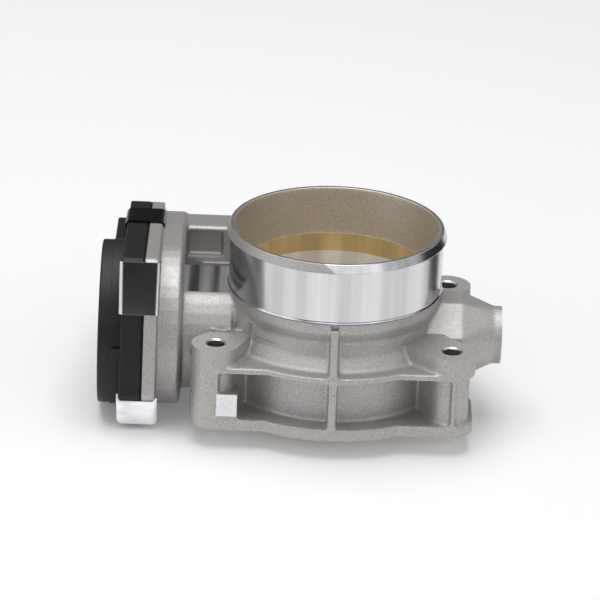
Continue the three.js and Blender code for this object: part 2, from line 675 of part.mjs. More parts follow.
function armature() {
  const [front, back] = ARMATURE.x;
  const core = discX(0, 0, ARMATURE.r, front, back, 30);
  const commutator = discX(0, 0, COMMUTATOR.r, COMMUTATOR.x, front + PAST, 20);
  const slots = [];
  for (let i = 0; i < ARMATURE.slots; i += 1) {
    const angle = (2 * Math.PI * i) / ARMATURE.slots;
    const [y, z] = [ARMATURE.slotAt * Math.cos(angle), ARMATURE.slotAt * Math.sin(angle)];
    slots.push(discX(y, z, ARMATURE.slotR, front - PAST, back + PAST, 12));
  }
  return cut(core.add(commutator), [...slots, discX(0, 0, MOTOR_SHAFT_R + GAP, -80, -10, 16)]);
}

function pinion() {
  const phase = IDLER_TO_MOTOR + Math.PI + Math.PI / PINION_TEETH;
  const teeth = toothPoints(PINION_TEETH, FINE_MODULE, phase, 0, PINION_TEETH - 1);
  return prism('x', teeth, ...PINION_X).subtract(discX(0, 0, MOTOR_SHAFT_R + GAP, -100, -70, 16));
}

function motorScrew([y, z]) {
  const shank = discX(y, z, MOTOR_SCREW.r, ...MOTOR_SCREW.x, 16);
  const head = discX(y, z, MOTOR_SCREW.headR, MOTOR_SCREW.headX, MOTOR_SCREW.x[0] + 0.5, 20);
  return shank.add(head).subtract(discX(y, z, 1.4, MOTOR_SCREW.headX - PAST, MOTOR_SCREW.socketX, 6));
}

node('motor_can', motorCan(), 'steel', motor);
node('motor_end_plate', motorEndPlate(), 'steel', motor);
node('front_motor_magnet', magnet(-1), 'magnet', motor);
node('rear_motor_magnet', magnet(1), 'magnet', motor);
node('motor_armature', armature(), 'copper', motor);
node('motor_shaft', discX(0, 0, MOTOR_SHAFT_R, ...MOTOR_SHAFT_X, 16), 'steel', motor);
node('motor_pinion', pinion(), 'brass', motor);
node('motor_wave_washer', ringX(0, 0, WAVE_WASHER.outer, WAVE_WASHER.inner, ...WAVE_WASHER.x), 'steel', motor);
node('upper_motor_screw', motorScrew(screwOffsets[0]), 'steel', motor);
node('lower_motor_screw', motorScrew(screwOffsets[1]), 'steel', motor);

// ---- Return spring and stop screw ----

class SpringPath extends THREE.Curve {
  getPoint(t, target = new THREE.Vector3()) {
    const angle = 2 * Math.PI * SPRING.turns * t;
    const x = THREE.MathUtils.lerp(SPRING.x[0], SPRING.x[1], t);
    return target.set(x, SPRING.r * Math.cos(angle), SPRING.r * Math.sin(angle));
  }
}

function returnSpring() {
  const wire = new THREE.Shape(circle(0, 0, SPRING.wireR, 6));
  const options = { steps: 12 * SPRING.turns, extrudePath: new SpringPath(), bevelEnabled: false };
  return toSolid(new THREE.ExtrudeGeometry(wire, options));
}

function stopScrew() {
  const [y, z] = stopScrewPlace();
  const socket = discX(y, z, 1, STOP_SCREW.x[0] - PAST, STOP_SCREW.x[0] + 1.4, 6);
  return discX(y, z, STOP_SCREW.r, ...STOP_SCREW.x, 16).subtract(socket);
}

node('return_spring', returnSpring(), 'steel').position.set(0, 0, SHAFT_Z);
node('throttle_stop_screw', stopScrew(), 'steel');

// ---- Gear cover, gasket, sensor board and connector ----

function connectorShroud() {
  const stemTop = box([SHROUD.x[0] + SHROUD_STEM, 0], [0, SHROUD.y[0] + SHROUD_BACK], [0, 90]);
  return box(SHROUD.x, SHROUD.y, SHROUD.z).subtract(stemTop);
}

function gearCover() {
  const outside = [
    prism('x', belt(COVER_EDGE), COVER_X, COVER_RIM_X),
    prism('x', belt(BULGE), BULGE_X, COVER_X + 0.5),
    discX(0, SHAFT_Z, DISC_R, DISC_X, COVER_X + 0.5),
    box(EDGE_TAB.x, EDGE_TAB.y, EDGE_TAB.z),
    connectorShroud(),
  ];
  const socketY = [SHROUD.y[0] + SHROUD_FLOOR, SHROUD.y[1] + PAST];
  const [socketX, socketZ] = [SHROUD.x, SHROUD.z].map(([low, high]) => [low + SHROUD_WALL, high - SHROUD_WALL]);
  const inside = [
    prism('x', belt(COVER_EDGE, -WALL), COVER_X + WALL, COVER_RIM_X + PAST),
    prism('x', belt(BULGE, -WALL), BULGE_X + WALL, COVER_X + WALL + 0.5),
    discX(0, SHAFT_Z, DISC_R - WALL, DISC_X + WALL, COVER_X + WALL + 0.5),
    box(socketX, socketY, socketZ),
  ];
  return cut(union(outside), inside);
}

function coverGasket() {
  const ring = prism('x', belt(COVER_EDGE, -0.5), COVER_RIM_X + 0.2, JOINT_X - 0.2);
  return ring.subtract(prism('x', belt(COVER_EDGE, -2.2), COVER_RIM_X - PAST, JOINT_X + PAST));
}

node('gear_cover', gearCover(), 'cover');
node('cover_gasket', coverGasket(), 'rubber');
node('sensor_board', prism('x', belt(BOARD.outline), ...BOARD.x), 'board');

// ---- Spring clips round the joint ----

// A channel of thin spring steel; local Y is outward, local Z along the edge
function clipSolid() {
  const [x0, x1] = [COVER_X - GAP, LIP_BACK_X + GAP];
  const [corner, top] = [GAP + CLIP_T - CLIP_CORNER, GAP + CLIP_T];
  const outline = polygon([
    [x0 - CLIP_T, -COVER_GRIP], [x0, -COVER_GRIP], [x0, GAP], [x1, GAP], [x1, -LIP_GRIP],
    [x1 + CLIP_T, -LIP_GRIP], [x1 + CLIP_T, corner], [x1 + CLIP_T - CLIP_CORNER, top],
    [x0 - CLIP_T + CLIP_CORNER, top], [x0 - CLIP_T, corner],
  ]);
  return prism('z', outline, -CLIP_LENGTH / 2, CLIP_LENGTH / 2);
}

// Where the clip sits: between two of the cover's edge circles, a share of the way along their common edge
const CLIPS = {
  front: [5, 0, 0.17], lower_front: [0, 1, 0.5], bottom: [2, 3, 0.45], top: [4, 5, 0.28],
};
for (const [name, [from, to, share]] of Object.entries(CLIPS)) {
  const [[y0, z0, r0], [y1, z1, r1]] = [COVER_EDGE[from], COVER_EDGE[to]];
  const step = new THREE.Vector2(y1 - y0, z1 - z0);
  const length = step.length();
  const unit = step.clone().divideScalar(length);
  const lean = (r0 - r1) / length;
  const normal = new THREE.Vector2(unit.y, -unit.x).multiplyScalar(Math.sqrt(1 - lean ** 2));
  normal.addScaledVector(unit, lean);
  const reach = r0 + (r1 - r0) * share;
  const mesh = node(`${name}_cover_clip`, clipSolid(), 'steel');
  mesh.position.set(0, y0 + step.x * share + normal.x * reach, z0 + step.y * share + normal.y * reach);
  mesh.rotation.x = Math.atan2(normal.y, normal.x);
}

// ---- Connector pins ----

for (let i = 0; i < PIN_COUNT; i += 1) {
  const z = SHROUD.z[0] + PIN_FIRST + i * PIN_PITCH;
  const y = [SHROUD.y[0] + SHROUD_FLOOR + GAP, SHROUD.y[1] - 3];
  node(`connector_pin_${i + 1}`, box(PIN_X, y, [z - PIN_HALF, z + PIN_HALF]), 'brass');
}

export default group;
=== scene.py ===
import math

import bmesh
import bpy
from mathutils import Matrix, Vector

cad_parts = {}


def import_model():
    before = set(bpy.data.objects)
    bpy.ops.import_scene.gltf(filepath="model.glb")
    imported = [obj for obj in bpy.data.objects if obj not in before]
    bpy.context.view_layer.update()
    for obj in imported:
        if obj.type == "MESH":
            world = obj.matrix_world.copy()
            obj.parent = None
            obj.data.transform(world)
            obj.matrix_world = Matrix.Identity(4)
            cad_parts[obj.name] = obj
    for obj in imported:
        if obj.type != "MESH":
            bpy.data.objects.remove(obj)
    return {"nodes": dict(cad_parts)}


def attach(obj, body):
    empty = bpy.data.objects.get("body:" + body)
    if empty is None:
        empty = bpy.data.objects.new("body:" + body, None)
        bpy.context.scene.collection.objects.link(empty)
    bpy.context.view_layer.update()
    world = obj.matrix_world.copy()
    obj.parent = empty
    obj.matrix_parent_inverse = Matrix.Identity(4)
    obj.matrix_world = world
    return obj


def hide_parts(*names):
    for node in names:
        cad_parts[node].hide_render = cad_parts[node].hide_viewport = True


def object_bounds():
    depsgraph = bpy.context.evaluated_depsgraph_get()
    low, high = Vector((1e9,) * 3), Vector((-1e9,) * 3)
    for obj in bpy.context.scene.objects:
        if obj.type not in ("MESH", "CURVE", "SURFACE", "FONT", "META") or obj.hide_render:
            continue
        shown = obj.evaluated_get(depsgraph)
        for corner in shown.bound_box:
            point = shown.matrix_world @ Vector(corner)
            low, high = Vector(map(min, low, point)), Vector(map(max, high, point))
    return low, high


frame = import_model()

MM = 0.001
CAD_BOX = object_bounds()

# ---- Driving dimensions, in millimetres, most of them the CAD source's own ----

BORE_R, BORE_FOOT_Z, BAND_FOOT_Z, BORE_TOP_Z = 43.5, 0.3, 53.5, 62.5
COLLAR_R, COLLAR_Z = 50.0, 54.4
BEAD_R, BEAD_Z = 51.6, 80.6
RIM_INNER_R, RIM_OUTER_R, RIM_Z = 48.0, 50.1, 84.1
RING_OUTER_R = BORE_R + 1.2
NECK_R, HOSE_ROOM_R = 48.3, 52.8
SHAFT_Z, SHAFT_R, GEAR_SEAT_R, SHAFT_BORE_R = 31.2, 5.0, 4.0, 5.35
EAR_X, EAR_Y, EAR_TOP_Z = 54.8, 40.56, 39.2
BOLT_HOLE_R = 4.3
RIGHT_BOSS_X = 79.3
PAD_X, PAD_Y, PAD_Z = (-53.6, -44), -51.8, (7, 18)
MOTOR_RECESS = ((-70, -53.8), (45, 52.6), (46, 58.2))
LIP_BACK_X, JOINT_X, COVER_RIM_X, COVER_X = -82.4, -88.3, -89.2, -99.0
BULGE_X, DISC_X, DISC_R, DISH_R = -105.0, -109.8, 38.5, 27
COVER_WALL = 2.4
CLIP_GAP, CLIP_THICK, CLIP_HALF_WIDTH, CLIP_BEND_R = 0.3, 0.9, 12.5, 2.6
MOTOR_Y, MOTOR_Z, MOTOR_FRONT_Y = 70.0, 36.0, 48.3
# Circles (y, z, r) that the cover's edge is stretched round, in order.
COVER_EDGE = [
    (-46, 14.5, 3.5), (-28.5, -4.5, 3.5), (0, SHAFT_Z, 41),
    (MOTOR_Y, MOTOR_Z, 25.6), (74, 59.4, 3.5), (-35, 74.5, 3.5),
]
PLATE_R, PLATE_HALF = 43.2, 1.2
PLATE_SCREW_X = 21
REST_TILT = math.radians(9)


# ---- Mesh tools ----

def link(name, mesh):
    obj = bpy.data.objects.new(name, mesh)
    bpy.context.scene.collection.objects.link(obj)
    return obj


def mesh_from(name, verts, faces):
    mesh = bpy.data.meshes.new(name)
    mesh.from_pydata([tuple(v) for v in verts], [], faces)
    mesh.update()
    return mesh


def shade(obj, degrees):
    """Smooth shading that keeps flat faces flat beside their rounded edges."""
    mesh = obj.data
    mesh.polygons.foreach_set("use_smooth", [True] * len(mesh.polygons))
    mesh.set_sharp_from_angle(angle=math.radians(degrees))
    modify(obj, "WEIGHTED_NORMAL", keep_sharp=True, weight=80)
    settle(obj)


def lathe(name, profile, sides, closed=True):
    """A profile of (r, z) in mm, turned about Z. A closed profile makes a ring."""
    verts, faces = [], []
    count = len(profile)
    for i in range(sides):
        angle = 2 * math.pi * i / sides
        for r, z in profile:
            verts.append((r * MM * math.cos(angle), r * MM * math.sin(angle), z * MM))
    for i in range(sides):
        j = (i + 1) % sides
        for k in range(count if closed else count - 1):
            m = (k + 1) % count
            faces.append((i * count + k, j * count + k, j * count + m, i * count + m))
    obj = link(name, mesh_from(name, verts, faces))
    clean(obj)
    return obj


def clean(obj):
    """Merges double vertices, drops faces of no size and turns all faces outwards."""
    bm = bmesh.new()
    bm.from_mesh(obj.data)
    bmesh.ops.remove_doubles(bm, verts=bm.verts, dist=1e-7)
    bmesh.ops.dissolve_degenerate(bm, edges=bm.edges, dist=1e-7)
    bmesh.ops.recalc_face_normals(bm, faces=bm.faces)
    bm.to_mesh(obj.data)
    bm.free()


def circle(u, v, r, sides):
    turns = (2 * math.pi * i / sides for i in range(sides))
    return [(u + r * math.cos(turn), v + r * math.sin(turn)) for turn in turns]


def belt(circles, grow=0.0, sides=160):
    """Convex outline round circles (u, v, r), each grown by `grow`."""
    points = sorted(p for u, v, r in circles for p in circle(u, v, r + grow, sides))

    def half(ordered):
        chain = []
        for p in ordered:
            while len(chain) > 1 and cross(chain[-2], chain[-1], p) <= 1e-9:
                chain.pop()
            chain.append(p)
        return chain[:-1]

    return half(points) + half(points[::-1])


def cross(a, b, c):
    return (b[0] - a[0]) * (c[1] - a[1]) - (b[1] - a[1]) * (c[0] - a[0])


def prism(name, outline, low, high, axis="x"):
    """An outline in mm, (y, z) along X or (x, y) along Z, made solid between two planes."""
    place = (lambda u, v, w: (w, u, v)) if axis == "x" else (lambda u, v, w: (u, v, w))
    count = len(outline)
    verts = [Vector(place(u, v, w)) * MM for w in (low, high) for u, v in outline]
    faces = [tuple(reversed(range(count))), tuple(range(count, 2 * count))]
    faces += [(i, (i + 1) % count, (i + 1) % count + count, i + count) for i in range(count)]
    return link(name, mesh_from(name, verts, faces))


def box(name, xs, ys, zs):
    outline = [(xs[0], ys[0]), (xs[1], ys[0]), (xs[1], ys[1]), (xs[0], ys[1])]
    return prism(name, outline, zs[0], zs[1], axis="z")


def drum(name, u, v, r, low, high, axis="x", sides=96):
    """A round bar between two planes: (u, v) is (y, z) along X, or (x, y) along Z."""
    return prism(name, circle(u, v, r, sides), low, high, axis)


def modify(obj, kind, **settings):
    modifier = obj.modifiers.new(kind.lower(), kind)
    for key, value in settings.items():
        setattr(modifier, key, value)


def settle(obj):
    """Replaces the object's mesh by what its modifiers make of it."""
    graph = bpy.context.evaluated_depsgraph_get()
    mesh = bpy.data.meshes.new_from_object(obj.evaluated_get(graph))
    obj.modifiers.clear()
    obj.data = mesh
    return obj


def round_edges(obj, width, segments=3):
    """Rounds every edge that turns by more than 35 degrees."""
    limit = math.radians(35)
    modify(obj, "BEVEL", width=width * MM, segments=segments, limit_method="ANGLE", angle_limit=limit)
    return settle(obj)


def combine(obj, others, operation="UNION"):
    """Joins other solids to the object, or cuts them from it, and removes them."""
    for other in others:
        modify(obj, "BOOLEAN", object=other, operation=operation, solver="MANIFOLD")
        settle(obj)
        bpy.data.objects.remove(other)
    return obj


def copy_of(node, name):
    obj = link(name, frame["nodes"][node].data.copy())
    obj.data.materials.clear()
    clean(obj)
    return obj


# ---- Material tools ----

class Look:
    """A Principled material and the nodes that feed it, in object coordinates (metres)."""

    def __init__(self, name, color, roughness, metallic, **sockets):
        self.material = bpy.data.materials.new(name)
        self.material.use_nodes = True
        self.nodes = self.material.node_tree.nodes
        self.links = self.material.node_tree.links
        self.shader = self.nodes["Principled BSDF"]
        self.shader.inputs["Base Color"].default_value = (*color, 1)
        self.shader.inputs["Roughness"].default_value = roughness
        self.shader.inputs["Metallic"].default_value = metallic
        for socket, value in sockets.items():
            self.shader.inputs[socket.replace("_", " ")].default_value = value
        self.place = self.nodes.new("ShaderNodeTexCoord").outputs["Object"]

    def stretched(self, scale):
        mapping = self.nodes.new("ShaderNodeMapping")
        mapping.inputs["Scale"].default_value = scale
        self.links.new(self.place, mapping.inputs["Vector"])
        return mapping.outputs["Vector"]

    def noise(self, scale, detail, rough=0.5, vector=None):
        node = self.nodes.new("ShaderNodeTexNoise")
        node.inputs["Scale"].default_value = scale
        node.inputs["Detail"].default_value = detail
        node.inputs["Roughness"].default_value = rough
        self.links.new(vector or self.place, node.inputs["Vector"])
        return node.outputs["Fac"]

    def ramp(self, value, stops):
        node = self.nodes.new("ShaderNodeValToRGB")
        ramp = node.color_ramp
        while len(ramp.elements) < len(stops):
            ramp.elements.new(0.5)
        for element, (at, color) in zip(ramp.elements, stops):
            element.position = at
            element.color = (*color, 1)
        self.links.new(value, node.inputs["Fac"])
        return node.outputs["Color"]

    def mix(self, kind, amount, first, second):
        node = self.nodes.new("ShaderNodeMix")
        node.data_type = "RGBA"
        node.blend_type = kind
        node.inputs["Factor"].default_value = amount
        self.links.new(first, node.inputs["A"])
        self.links.new(second, node.inputs["B"])
        return node.outputs["Result"]

    def span(self, value, low, high):
        node = self.nodes.new("ShaderNodeMapRange")
        node.inputs["To Min"].default_value = low
        node.inputs["To Max"].default_value = high
        self.links.new(value, node.inputs["Value"])
        return node.outputs["Result"]

    def bump(self, height, depth_mm, strength, below=None):
        node = self.nodes.new("ShaderNodeBump")
        node.inputs["Strength"].default_value = strength
        node.inputs["Distance"].default_value = depth_mm * MM
        self.links.new(height, node.inputs["Height"])
        if below is not None:
            self.links.new(below, node.inputs["Normal"])
        return node.outputs["Normal"]

    def feed(self, socket, value):
        self.links.new(value, self.shader.inputs[socket])


def shaded(tint, factor):
    """The colour made darker or lighter by a factor."""
    return tuple(c * factor for c in tint)


def cast_look(name, tint):
    """Blasted casting skin: fine sparkling grain over a coarser one, with a slightly uneven tone."""
    look = Look(name, tint, 0.5, 0.75)
    grain = look.noise(2000, 4, 0.6)
    patch = look.noise(38, 3, 0.55)
    speck = look.ramp(grain, [(0.3, shaded(tint, 0.66)), (0.5, tint), (0.72, shaded(tint, 1.32))])
    tone = look.ramp(patch, [(0.35, (1, 1, 1)), (0.6, (1.02, 0.98, 0.95))])
    look.feed("Base Color", look.mix("MULTIPLY", 0.8, speck, tone))
    look.feed("Roughness", look.span(look.noise(700, 2), 0.42, 0.62))
    coarse = look.bump(look.noise(420, 3, 0.6), 0.10, 0.5)
    look.feed("Normal", look.bump(grain, 0.07, 0.7, coarse))
    return look.material


def machined_look(name, tint, roughness, line_scale, reflection_streak_scale=(110, 110, 3), dark=0.75, metallic=1.0):
    """Fine tool lines one way in roughness and bumps, and soft dark bands across them painted into the
    colour as painted reflections.
    """
    look = Look(name, tint, roughness, metallic, Anisotropic=0.5)
    painted_reflection_streaks = look.noise(1.0, 2, 0.5, look.stretched(reflection_streak_scale))
    # Painted reflection streaks: dark bands in the base colour.
    look.feed("Base Color", look.ramp(painted_reflection_streaks, [(0.35, shaded(tint, dark)), (0.62, tint)]))
    around = look.nodes.new("ShaderNodeTangent")
    around.direction_type = "RADIAL"
    around.axis = "Z"
    look.feed("Tangent", around.outputs["Tangent"])
    lines = look.noise(1.0, 2, 0.6, look.stretched(line_scale))
    look.feed("Roughness", look.span(lines, roughness * 0.8, roughness * 1.45))
    look.feed("Normal", look.bump(lines, 0.004, 0.35))
    return look.material


def plastic_look(name, tint, roughness):
    """Moulded skin with a faint mottle and a fine texture."""
    look = Look(name, tint, roughness, 0.0, Specular_IOR_Level=0.35)
    mottle = look.noise(120, 3)
    look.feed("Base Color", look.ramp(mottle, [(0.3, shaded(tint, 0.85)), (0.7, shaded(tint, 1.2))]))
    look.feed("Roughness", look.span(look.noise(900, 2), roughness * 0.85, roughness * 1.2))
    look.feed("Normal", look.bump(look.noise(2600, 2), 0.015, 0.4))
    return look.material


def metal_look(name, tint, roughness, scale=900, depth=0.01):
    """Ground, rolled or milled metal with an even grain."""
    look = Look(name, tint, roughness, 1.0)
    grain = look.noise(scale, 3)
    look.feed("Base Color", look.ramp(grain, [(0.25, shaded(tint, 0.85)), (0.75, tint)]))
    look.feed("Roughness", look.span(look.noise(scale / 5, 3), roughness * 0.8, roughness * 1.3))
    look.feed("Normal", look.bump(grain, depth, 0.4))
    return look.material


LOOKS = {
    "cast": cast_look("blasted_cast_aluminium", (0.46, 0.447, 0.438)),
    "funnel": cast_look("rough_cast_funnel", (0.5, 0.45, 0.375)),
    # Milled shelf: strong dark bands across X painted into its colour, painted reflections of the housing.
    "shelf_painted_reflections": machined_look("milled_shelf_painted_reflections", (0.9, 0.9, 0.92), 0.1, (9000, 60, 60), (190, 5, 5), 0.12),
    # Lower front clip: the spring steel drawn near-white and satin, a painted bright reflection.
    "spring_painted_bright_reflection": plastic_look("spring_strip_painted_bright_reflection", (0.93, 0.93, 0.97), 0.35),
    "pad": metal_look("sawn_pad", (0.9, 0.9, 0.92), 0.5, 600, 0.03),
    # The top clip is drawn black all over.
    "dark_spring": metal_look("black_spring_strip", (0.03, 0.03, 0.032), 0.3, 300, 0.003),
    # The soft dark streaks in this colour are painted reflection streaks.
    "turned": machined_look("turned_aluminium", (0.72, 0.72, 0.74), 0.17, (60, 60, 9000)),
    "bore": machined_look("honed_bore", (0.97, 0.96, 0.96), 0.35, (40, 40, 6000), metallic=0.05),
    # Gold band in the bore between BAND_FOOT_Z and BORE_TOP_Z: a painted gold reflection.
    "painted_reflection_band": machined_look("bore_painted_gold_reflection", (0.8, 0.64, 0.34), 0.35, (40, 40, 6000), metallic=0.5),
    "milled": metal_look("milled_aluminium", (0.74, 0.73, 0.72), 0.28),
    "steel": metal_look("ground_steel", (0.62, 0.62, 0.63), 0.25),
    "spring": metal_look("spring_steel_strip", (0.7, 0.7, 0.72), 0.1, 300, 0.003),
    "brass": metal_look("brass_plate", (0.66, 0.5, 0.24), 0.4, 2500, 0.002),
    "copper": metal_look("winding_copper", (0.65, 0.3, 0.14), 0.35),
    "magnet": metal_look("ferrite", (0.05, 0.05, 0.055), 0.6),
    "rubber": plastic_look("black_rubber", (0.012, 0.012, 0.012), 0.7),
    "cover": plastic_look("black_cover_plastic", (0.009, 0.009, 0.0095), 0.45),
    "gear": plastic_look("natural_gear_plastic", (0.62, 0.55, 0.4), 0.5),
    "board": plastic_look("green_board", (0.02, 0.11, 0.05), 0.35),
}

NODE_LOOKS = {
    "steel": [
        "left_bearing", "right_bearing", "shaft_end_plug", "throttle_stop_screw", "return_spring",
        "intermediate_gear_pin", "motor_can", "motor_end_plate", "motor_shaft", "motor_wave_washer",
        "upper_motor_screw", "lower_motor_screw",
    ],
    "rubber": ["left_shaft_seal", "right_shaft_seal", "cover_gasket"],
    "brass": ["motor_pinion"] + [f"connector_pin_{i}" for i in range(1, 7)],
    "gear": ["sector_gear", "intermediate_gear"],
    "copper": ["motor_armature"],
    "magnet": ["front_motor_magnet", "rear_motor_magnet"],
    "cover": ["sensor_rotor"],
    "board": ["sensor_board"],
}


def finish_piece(obj, body, node, smooth):
    """Shades a piece that has its looks, sets it on its body and lets it stand for its CAD node."""
    shade(obj, smooth)
    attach(obj, body)
    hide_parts(node)


def give_looks(obj, *names):
    """Puts the named looks in the object's material slots and returns the slots' numbers."""
    obj.data.materials.clear()
    for name in names:
        obj.data.materials.append(LOOKS[name])
    return range(len(names))


# ---- Casting ----

def turned_throat():
    """The machined ring: bore, inlet collar and bead, with the funnel and part of the bead left as cast."""
    funnel_foot_r, funnel_foot_z, steps = BORE_R + 0.2, BORE_TOP_Z + 0.3, 12
    inside = [(BORE_R, z) for z in (BORE_FOOT_Z, BAND_FOOT_Z, BORE_TOP_Z)] + [(funnel_foot_r, funnel_foot_z)]
    for i in range(1, steps + 1):
        share = i / steps
        r = funnel_foot_r + (RIM_INNER_R - BORE_R - 0.4) * share
        inside.append((r, funnel_foot_z + (RIM_Z - 1.0 - funnel_foot_z) * share))
    rim = [(RIM_INNER_R + 0.1, RIM_Z - 0.3), (RIM_INNER_R + 0.5, RIM_Z), (RIM_OUTER_R - 0.2, RIM_Z)]
    bead = [
        (RIM_OUTER_R + (BEAD_R - RIM_OUTER_R) * i / steps, RIM_Z - 0.15 + (BEAD_Z - RIM_Z) * i / steps)
        for i in range(steps + 1)
    ]
    bead += [(BEAD_R - 0.1, BEAD_Z - 0.4), (COLLAR_R + 0.5, BEAD_Z - 0.9), (COLLAR_R, BEAD_Z - 1.2)]
    foot = [
        (COLLAR_R, COLLAR_Z + 1.4), (COLLAR_R + 0.12, COLLAR_Z + 0.7), (COLLAR_R + 0.5, COLLAR_Z + 0.15),
        (COLLAR_R, COLLAR_Z - 0.05), (RING_OUTER_R, COLLAR_Z - 0.4), (RING_OUTER_R, BORE_FOOT_Z),
    ]
    ring = lathe("inlet_collar", inside + rim + bead + foot, 320)
    combine(ring, [drum("shaft_bore", 0, SHAFT_Z, SHAFT_BORE_R, -60, 60)], "DIFFERENCE")
    turned, bore, funnel, painted_reflection_band, cast = give_looks(ring, "turned", "bore", "funnel", "painted_reflection_band", "cast")
    rough_start, rough_end, end_slope = -100, -7, 1.6
    for face in ring.data.polygons:
        x, y, z = (c / MM for c in face.center)
        inward = face.normal.x * x + face.normal.y * y < 0 and abs(face.normal.z) < 0.9
        azimuth = math.degrees(math.atan2(x, -y))
        on_bead = BEAD_Z - 1.1 < z < RIM_Z - 0.05
        rough = rough_start < azimuth < rough_end + end_slope * (RIM_Z - z)
        if inward:
            # Between BAND_FOOT_Z and BORE_TOP_Z the bore gets the painted gold reflection.
            face.material_index = funnel if z > BORE_TOP_Z + 0.05 else painted_reflection_band if z > BAND_FOOT_Z else bore
        else:
            face.material_index = cast if on_bead and rough else turned
    finish_piece(ring, "root", "body_casting", 25)


def grow_machined_faces(obj):
    """Moves each machined face outwards, so that the rounding leaves stock for the cuts to take off."""
    stock, near = 3, 0.05
    flange_left_x, ear_inner_y, shelf_right_x = -71, 30, -45
    for vertex in obj.data.vertices:
        x, y, z = (c / MM for c in vertex.co)
        if abs(z) < 0.2 and x > flange_left_x:
            vertex.co.z = -stock * MM
        elif abs(z - EAR_TOP_Z) < near and abs(y) > ear_inner_y:
            vertex.co.z += stock * MM
        elif abs(z - COLLAR_Z) < near and x < shelf_right_x:
            vertex.co.z += stock * MM
        if abs(x - JOINT_X) < near:
            vertex.co.x -= stock * MM
        elif abs(x - RIGHT_BOSS_X) < near:
            vertex.co.x += stock * MM


def bolt_hole_cutter(x, y):
    chamfer, start_z = 0.7, -5
    outline = [
        (0, start_z), (BOLT_HOLE_R, start_z), (BOLT_HOLE_R, EAR_TOP_Z - chamfer),
        (BOLT_HOLE_R + 2 * chamfer, EAR_TOP_Z + chamfer), (0, EAR_TOP_Z + chamfer),
    ]
    cutter = lathe("bolt_hole", outline, 72)
    cutter.data.transform(Matrix.Translation((x * MM, y * MM, 0)))
    return cutter


def machining():
    """Every cutter that the casting is machined with, after its edges are rounded."""
    cutters = [
        drum("throat_cut", 0, 0, RING_OUTER_R, -8, 100, "z", 288),
        drum("collar_seat", 0, 0, COLLAR_R + 0.05, COLLAR_Z - 0.4, 100, "z", 288),
        drum("hose_cut", 0, 0, HOSE_ROOM_R, COLLAR_Z, 100, "z", 288),
        box("face_cut", (-70.9, 90), (-70, 62), (-12, 0)),
        box("shelf_cut", (-71.1, -30), (-33, 33), (COLLAR_Z, 60)),
        box("joint_cut", (-100, JOINT_X), (-80, 120), (-40, 120)),
        box("boss_cut", (RIGHT_BOSS_X, 90), (-25, 25), (0, 60)),
        box("rib_notch", (-1.7, 1.7), (-60, -48.6), (51.4, 60)),
        round_edges(box("recess", *MOTOR_RECESS), 1.2),
    ]
    for side_x in (-1, 1):
        for side_y in (-1, 1):
            inner_y = 27.3 if side_x < 0 else 22.2
            outer_y = MOTOR_FRONT_Y if (side_x, side_y) == (-1, 1) else 62
            xs = sorted((side_x * 25, side_x * 70.8))
            ys = sorted((side_y * inner_y, side_y * outer_y))
            top = box("ear_cut", xs, ys, (EAR_TOP_Z, 45))
            combine(top, [drum("neck_keep", 0, 0, NECK_R, 30, 60, "z", 200)], "DIFFERENCE")
            cutters += [top, bolt_hole_cutter(side_x * EAR_X, side_y * EAR_Y)]
    return cutters


def casting():
    body = copy_of("body_casting", "cast_body")
    grow_machined_faces(body)
    voxel, passes = ((0.75, 4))
    modify(body, "REMESH", mode="VOXEL", voxel_size=voxel * MM)
    modify(body, "SMOOTH", factor=0.5, iterations=passes)
    settle(body)
    combine(body, machining(), "DIFFERENCE")
    combine(body, [box("witness_pad", PAD_X, (PAD_Y, -40), PAD_Z)])
    cast, milled, shelf_painted_reflections, pad = give_looks(body, "cast", "milled", "shelf_painted_reflections", "pad")
    flat, near = 0.99, 0.02
    for face in body.data.polygons:
        x, y, z = (c / MM for c in face.center)
        under_face = face.normal.z < -flat and abs(z) < near
        boss_face = face.normal.x > flat and x > RIGHT_BOSS_X - near
        bolt_hole = math.hypot(abs(x) - EAR_X, abs(y) - EAR_Y) < BOLT_HOLE_R + 1.2 and z < EAR_TOP_Z - near
        # The shelf gets the look with painted reflection bands.
        if face.normal.z > flat and abs(z - COLLAR_Z) < near:
            face.material_index = shelf_painted_reflections
        elif face.normal.y < -flat and abs(y - PAD_Y) < near and PAD_X[0] - 0.1 < x < PAD_X[1] + 0.1:
            face.material_index = pad
        else:
            face.material_index = milled if under_face or boss_face or bolt_hole else cast
    finish_piece(body, "root", "body_casting", 40)


# ---- Throttle plate, shaft and screws ----

def in_rotor(obj):
    """Tilts a piece made about the origin to the plate's rest position on the shaft axis."""
    obj.data.transform(Matrix.Translation((0, 0, SHAFT_Z * MM)) @ Matrix.Rotation(REST_TILT, 4, "X"))
    return obj


